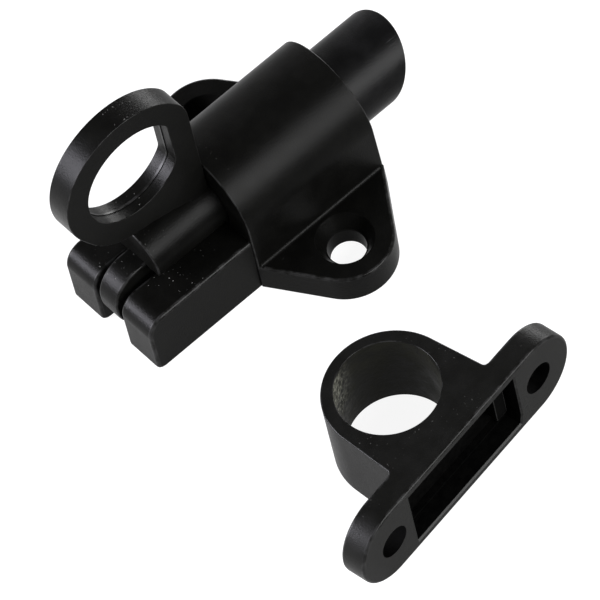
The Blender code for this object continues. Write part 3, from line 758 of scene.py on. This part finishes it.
class Finish:
    """A Principled material with the few node chains that the finishes here share."""

    def __init__(self, name, roughness, specular, metallic=0.0):
        self.material = bpy.data.materials.new(name)
        self.material.use_nodes = True
        self.nodes = self.material.node_tree.nodes
        self.shader = self.nodes["Principled BSDF"]
        self.shader.inputs["Specular IOR Level"].default_value = specular
        self.shader.inputs["Metallic"].default_value = metallic
        self.roughness = roughness
        self.height = None
        self.colour = None
        self.places = self.nodes.new("ShaderNodeTexCoord").outputs["Object"]

    def link(self, source, target):
        """Connects one node's output to another node's input."""
        self.material.node_tree.links.new(source, target)

    def part_of(self, vector, axis):
        """The X, Y or Z part of a vector."""
        split = self.nodes.new("ShaderNodeSeparateXYZ")
        self.link(vector, split.inputs["Vector"])
        return split.outputs[axis]

    def stretched(self, scale):
        """The object's own coordinates, scaled apart along X, Y and Z."""
        mapping = self.nodes.new("ShaderNodeMapping")
        mapping.inputs["Scale"].default_value = scale
        self.link(self.places, mapping.inputs["Vector"])
        return mapping.outputs["Vector"]

    def noise(self, scale, detail, vector=None):
        """Noise of so many waves a metre."""
        noise = self.nodes.new("ShaderNodeTexNoise")
        noise.inputs["Scale"].default_value = scale
        noise.inputs["Detail"].default_value = detail
        noise.inputs["Roughness"].default_value = NOISE_ROUGHNESS
        self.link(vector or self.places, noise.inputs["Vector"])
        return noise.outputs["Fac"]

    def ranged(self, value, low, high, to_low=0.0, to_high=1.0):
        """A smooth step from to_low to to_high as the value goes from low to high."""
        node = self.nodes.new("ShaderNodeMapRange")
        node.interpolation_type = "SMOOTHSTEP"
        set_span(node, (low, high), (to_low, to_high))
        self.link(value, node.inputs["Value"])
        return node.outputs["Result"]

    def both(self, a, b):
        """The product of two values."""
        node = self.nodes.new("ShaderNodeMath")
        node.operation = "MULTIPLY"
        self.link(a, node.inputs[0])
        self.link(b, node.inputs[1])
        return node.outputs["Value"]

    def tint(self, factor, dark, light):
        """Sets the colour between two tones, or lays one tone over what is there if dark is None."""
        mix = self.nodes.new("ShaderNodeMix")
        mix.data_type = "RGBA"
        colours = [socket for socket in mix.inputs if socket.type == "RGBA"]
        if dark is None:
            self.link(self.colour, colours[0])
        else:
            colours[0].default_value = (*dark, 1)
        colours[1].default_value = (*light, 1)
        self.link(factor, mix.inputs["Factor"])
        self.colour = [socket for socket in mix.outputs if socket.type == "RGBA"][0]

    def bump(self, height, strength, distance):
        """Adds a layer of relief on top of the ones before it."""
        bump = self.nodes.new("ShaderNodeBump")
        bump.inputs["Strength"].default_value = strength
        bump.inputs["Distance"].default_value = distance
        self.link(height, bump.inputs["Height"])
        if self.height:
            self.link(self.height, bump.inputs["Normal"])
        self.height = bump.outputs["Normal"]

    def done(self, rough_source, spread):
        """Connects colour, relief and roughness, which varies by the spread, and gives the material."""
        rough = self.ranged(rough_source, 0.3, 0.7, self.roughness - spread, self.roughness + spread)
        self.link(rough, self.shader.inputs["Roughness"])
        self.link(self.colour, self.shader.inputs["Base Color"])
        self.link(self.height, self.shader.inputs["Normal"])
        return self.material


def coat(name, dark, light, roughness, specular, dust=NO_DUST, scratches=0.0):
    """Satin black coat: powdery grain, faint mottling, pale dust and, if asked, scratches.

    dust is its strength and the two places along X between which it fades out.
    """
    look = Finish(name, roughness, specular)
    mottle = look.noise(scale=260, detail=5)
    look.tint(look.ranged(mottle, 0.35, 0.7), dark, light)
    amount, thick_x, clear_x = dust
    if amount:
        specks = look.ranged(look.noise(scale=2300, detail=1), 0.71, 0.74)
        patches = look.ranged(look.noise(scale=160, detail=2), 0.48, 0.6, 0.0, amount)
        fading = look.ranged(look.part_of(look.places, "X"), thick_x, clear_x, 1.0, 0.0)
        normal = look.nodes.new("ShaderNodeNewGeometry").outputs["Normal"]
        upward = look.ranged(look.part_of(normal, "Z"), 0.5, 0.9)
        look.tint(look.both(look.both(specks, look.both(patches, fading)), upward), None, DUST)
    if scratches:
        lines = look.noise(scale=1.0, detail=3, vector=look.stretched((260, 5200, 5200)))
        where = look.ranged(look.noise(scale=70, detail=2), 0.45, 0.65, 0.0, scratches)
        look.tint(look.both(look.ranged(lines, 0.66, 0.72), where), None, SCRATCH)
    look.bump(look.noise(scale=420, detail=2), strength=0.2, distance=0.04 * MM)
    look.bump(look.noise(scale=3600, detail=2), strength=1.0, distance=0.04 * MM)
    return look.done(mottle, spread=0.03)


def worn_and_highlit(name, dark, light, roughness, specular):
    """The same coat on rounded edges, rubbed thin in places and paler all along them: partly wear, partly a
    painted highlight on the edges.
    """
    look = Finish(name, roughness, specular)
    rubbed_and_highlit = look.noise(scale=520, detail=4)
    look.tint(look.ranged(rubbed_and_highlit, 0.42, 0.62), dark, light)
    look.bump(look.noise(scale=3000, detail=2), strength=0.3, distance=0.02 * MM)
    return look.done(rubbed_and_highlit, spread=0.06)


def raw(name, dark, light, roughness, specular):
    """Thinly coated die-cast bore: olive grey, mottled and finely pitted, flaking on one side; the bare
    patches and flakes are painted paler on the lit side and towards the top, partly real flaking and partly
    painted light, with painted shade lower in the bore.
    """
    look = Finish(name, roughness, specular)
    mottle = look.noise(scale=300, detail=5)
    look.tint(look.ranged(mottle, 0.35, 0.65), dark, light)
    # flaking on the bore's lit side, painted paler there: partly real flaking, partly painted light
    flaking_and_lit_side = look.ranged(look.part_of(look.places, "X"), FLAKES_AND_LIGHT_X, KEEPER_X, 1.0, 0.0)
    # paler towards the top of the bore: painted shade lower down
    upward = look.ranged(look.part_of(look.places, "Z"), 0.3 * KEEPER_H, 0.8 * KEEPER_H, 0.3, 1.0)
    side = look.both(flaking_and_lit_side, upward)
    bare = look.ranged(look.noise(scale=1300, detail=6), 0.38, 0.68)
    look.tint(look.both(bare, side), None, PATCH)
    flakes = look.both(look.ranged(look.noise(scale=2600, detail=2), 0.6, 0.68),
                       look.ranged(look.noise(scale=150, detail=2), 0.4, 0.55))
    look.tint(look.both(flakes, side), None, FLAKE)
    look.bump(look.noise(scale=1100, detail=4), strength=0.8, distance=0.06 * MM)
    return look.done(mottle, spread=0.08)


def dull_painted_shade(name, dark, light, roughness, specular):
    """Thin, rough coat deep in the cored-out places, painted darker than the black coat: painted shade in
    the recesses.
    """
    look = Finish(name, roughness, specular)
    grain = look.noise(scale=900, detail=4)
    look.tint(look.ranged(grain, 0.35, 0.7), dark, light)
    look.bump(grain, strength=0.4, distance=0.05 * MM)
    return look.done(grain, spread=0.08)


def steel(name, tone, roughness, grain):
    """Plain steel with fine drawn or turned marks."""
    look = Finish(name, roughness, specular=0.5, metallic=1.0)
    marks = look.noise(scale=1.0, detail=3, vector=look.stretched(grain))
    look.tint(look.ranged(marks, 0.3, 0.7), [0.75 * t for t in tone], tone)
    look.bump(marks, strength=0.2, distance=0.02 * MM)
    return look.done(marks, spread=0.07)


# ---------------------------------------------------------------- stage

def make_camera():
    """A long lens that looks down from behind the latch, on the bolt's right."""
    data = bpy.data.cameras.new("camera")
    data.lens = LENS_MM
    data.sensor_width = SENSOR_MM
    data.clip_start = CLIP_NEAR
    data.clip_end = CLIP_FAR
    away = Vector((math.sin(AZIMUTH) * math.cos(ELEVATION), -math.cos(AZIMUTH) * math.cos(ELEVATION),
                   math.sin(ELEVATION)))
    camera = bpy.data.objects.new("camera", data)
    facing = (-away).to_track_quat("-Z", "Y").to_matrix().to_4x4()
    place = Matrix.Translation(LOOK_AT + DISTANCE * away)
    camera.matrix_world = place @ facing @ Matrix.Rotation(ROLL, 4, "Z")
    bpy.context.scene.collection.objects.link(camera)
    bpy.context.scene.camera = camera


def make_floor():
    """A pale, glowing table just under the mounting face; behind the latch it glows over twice as bright, a
    painted pool of light.
    """
    bpy.ops.mesh.primitive_plane_add(size=FLOOR_SIZE, location=(0, 0, FLOOR_Z))
    floor = bpy.context.object
    floor.name = "floor"
    look = Finish("light_table", roughness=0.9, specular=0.1)
    cloud = look.noise(scale=9, detail=3)
    look.tint(look.ranged(cloud, 0.3, 0.7), FLOOR_DARK, FLOOR_LIGHT)
    look.bump(cloud, strength=0.02, distance=0.1 * MM)
    look.shader.inputs["Emission Color"].default_value = (*WHITE, 1)
    # painted pool of light: the floor glows brighter behind the latch
    glow_with_painted_pool = look.ranged(look.part_of(look.places, "X"), *PAINTED_POOL_SPAN, *GLOW_WITH_PAINTED_POOL)
    look.link(glow_with_painted_pool, look.shader.inputs["Emission Strength"])
    floor.data.materials.append(look.done(cloud, spread=0.02))


def area_light(name, location, size, power, colour):
    """A soft rectangular lamp that faces the origin."""
    data = bpy.data.lights.new(name, "AREA")
    data.shape = "RECTANGLE"
    data.size, data.size_y = size
    data.energy = power
    data.color = colour
    light = bpy.data.objects.new(name, data)
    light.location = location
    light.rotation_euler = (-Vector(location)).to_track_quat("-Z", "Y").to_euler()
    bpy.context.scene.collection.objects.link(light)


def make_light():
    """The sky, the lamps and how the view shows them."""
    world = bpy.data.worlds.new("studio")
    world.use_nodes = True
    nodes, links = world.node_tree.nodes, world.node_tree.links
    split = nodes.new("ShaderNodeSeparateXYZ")
    links.new(nodes.new("ShaderNodeTexCoord").outputs["Generated"], split.inputs["Vector"])
    fade = nodes.new("ShaderNodeMapRange")
    set_span(fade, SKY_SPAN, SKY_STRENGTH)
    links.new(split.outputs["Z"], fade.inputs["Value"])
    links.new(fade.outputs["Result"], nodes["Background"].inputs["Strength"])
    nodes["Background"].inputs["Color"].default_value = (*WHITE, 1)
    bpy.context.scene.world = world
    for lamp in LIGHTS:
        area_light(*lamp)
    bpy.context.scene.view_settings.view_transform = "Standard"
    bpy.context.scene.view_settings.gamma = CONTRAST


# ---------------------------------------------------------------- the model

housing_coat = coat("housing_coat", BLACK, SOFT_BLACK, roughness=0.33, specular=0.06, dust=HOUSING_DUST)
handle_coat = coat("handle_coat", BLACK, SOFT_BLACK, roughness=0.33, specular=0.06, dust=HANDLE_DUST)
bolt_coat = coat("bolt_coat", BOLT_DARK, BOLT_LIGHT, roughness=0.34, specular=0.09, scratches=0.8)
keeper_coat = coat("keeper_coat", SOFT_BLACK, FADED_BLACK, roughness=0.38, specular=0.085, dust=KEEPER_DUST)
worn_highlit_edge_coat = worn_and_highlit("worn_highlit_edge_coat", SOFT_BLACK, RUBBED_AND_HIGHLIT, roughness=0.32, specular=0.11)
raw_bore = raw("raw_bore", BORE_DARK, BORE_LIGHT, roughness=0.5, specular=0.09)
painted_shade_coat = dull_painted_shade("painted_shade_coat", CORE_SHADE_DARK, CORE_SHADE_LIGHT, roughness=0.8, specular=0.02)

# Each casting: what makes it, its coat, the body it rides on, the node it stands for and its slot
castings = (
    (make_housing, housing_coat, "housing", "housing", "housing_coat"),
    (make_bolt, bolt_coat, "bolt", "bolt", "bolt_coat"),
    (make_handle, handle_coat, "bolt", "pull_handle", "handle_coat"),
    (make_keeper, keeper_coat, "housing", "keeper", "keeper_coat"),
)
for make, finish_coat, body, node, slot in castings:
    finish(make(), (finish_coat, worn_highlit_edge_coat, raw_bore, painted_shade_coat), body, node)

spring_steel = steel("spring_steel", SPRING_TONE, roughness=0.3, grain=(900, 900, 900))
spring = finish(make_spring(), (spring_steel,), "housing", "bolt_spring")
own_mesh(spring)
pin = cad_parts["bolt_pin"]
pin.data.materials.clear()
pin.data.materials.append(steel("pin_steel", PIN_TONE, roughness=0.35, grain=(3000, 400, 3000)))

make_camera()
make_floor()
make_light()
for stand_in in STAND_INS:
    bpy.data.materials.remove(stand_in)
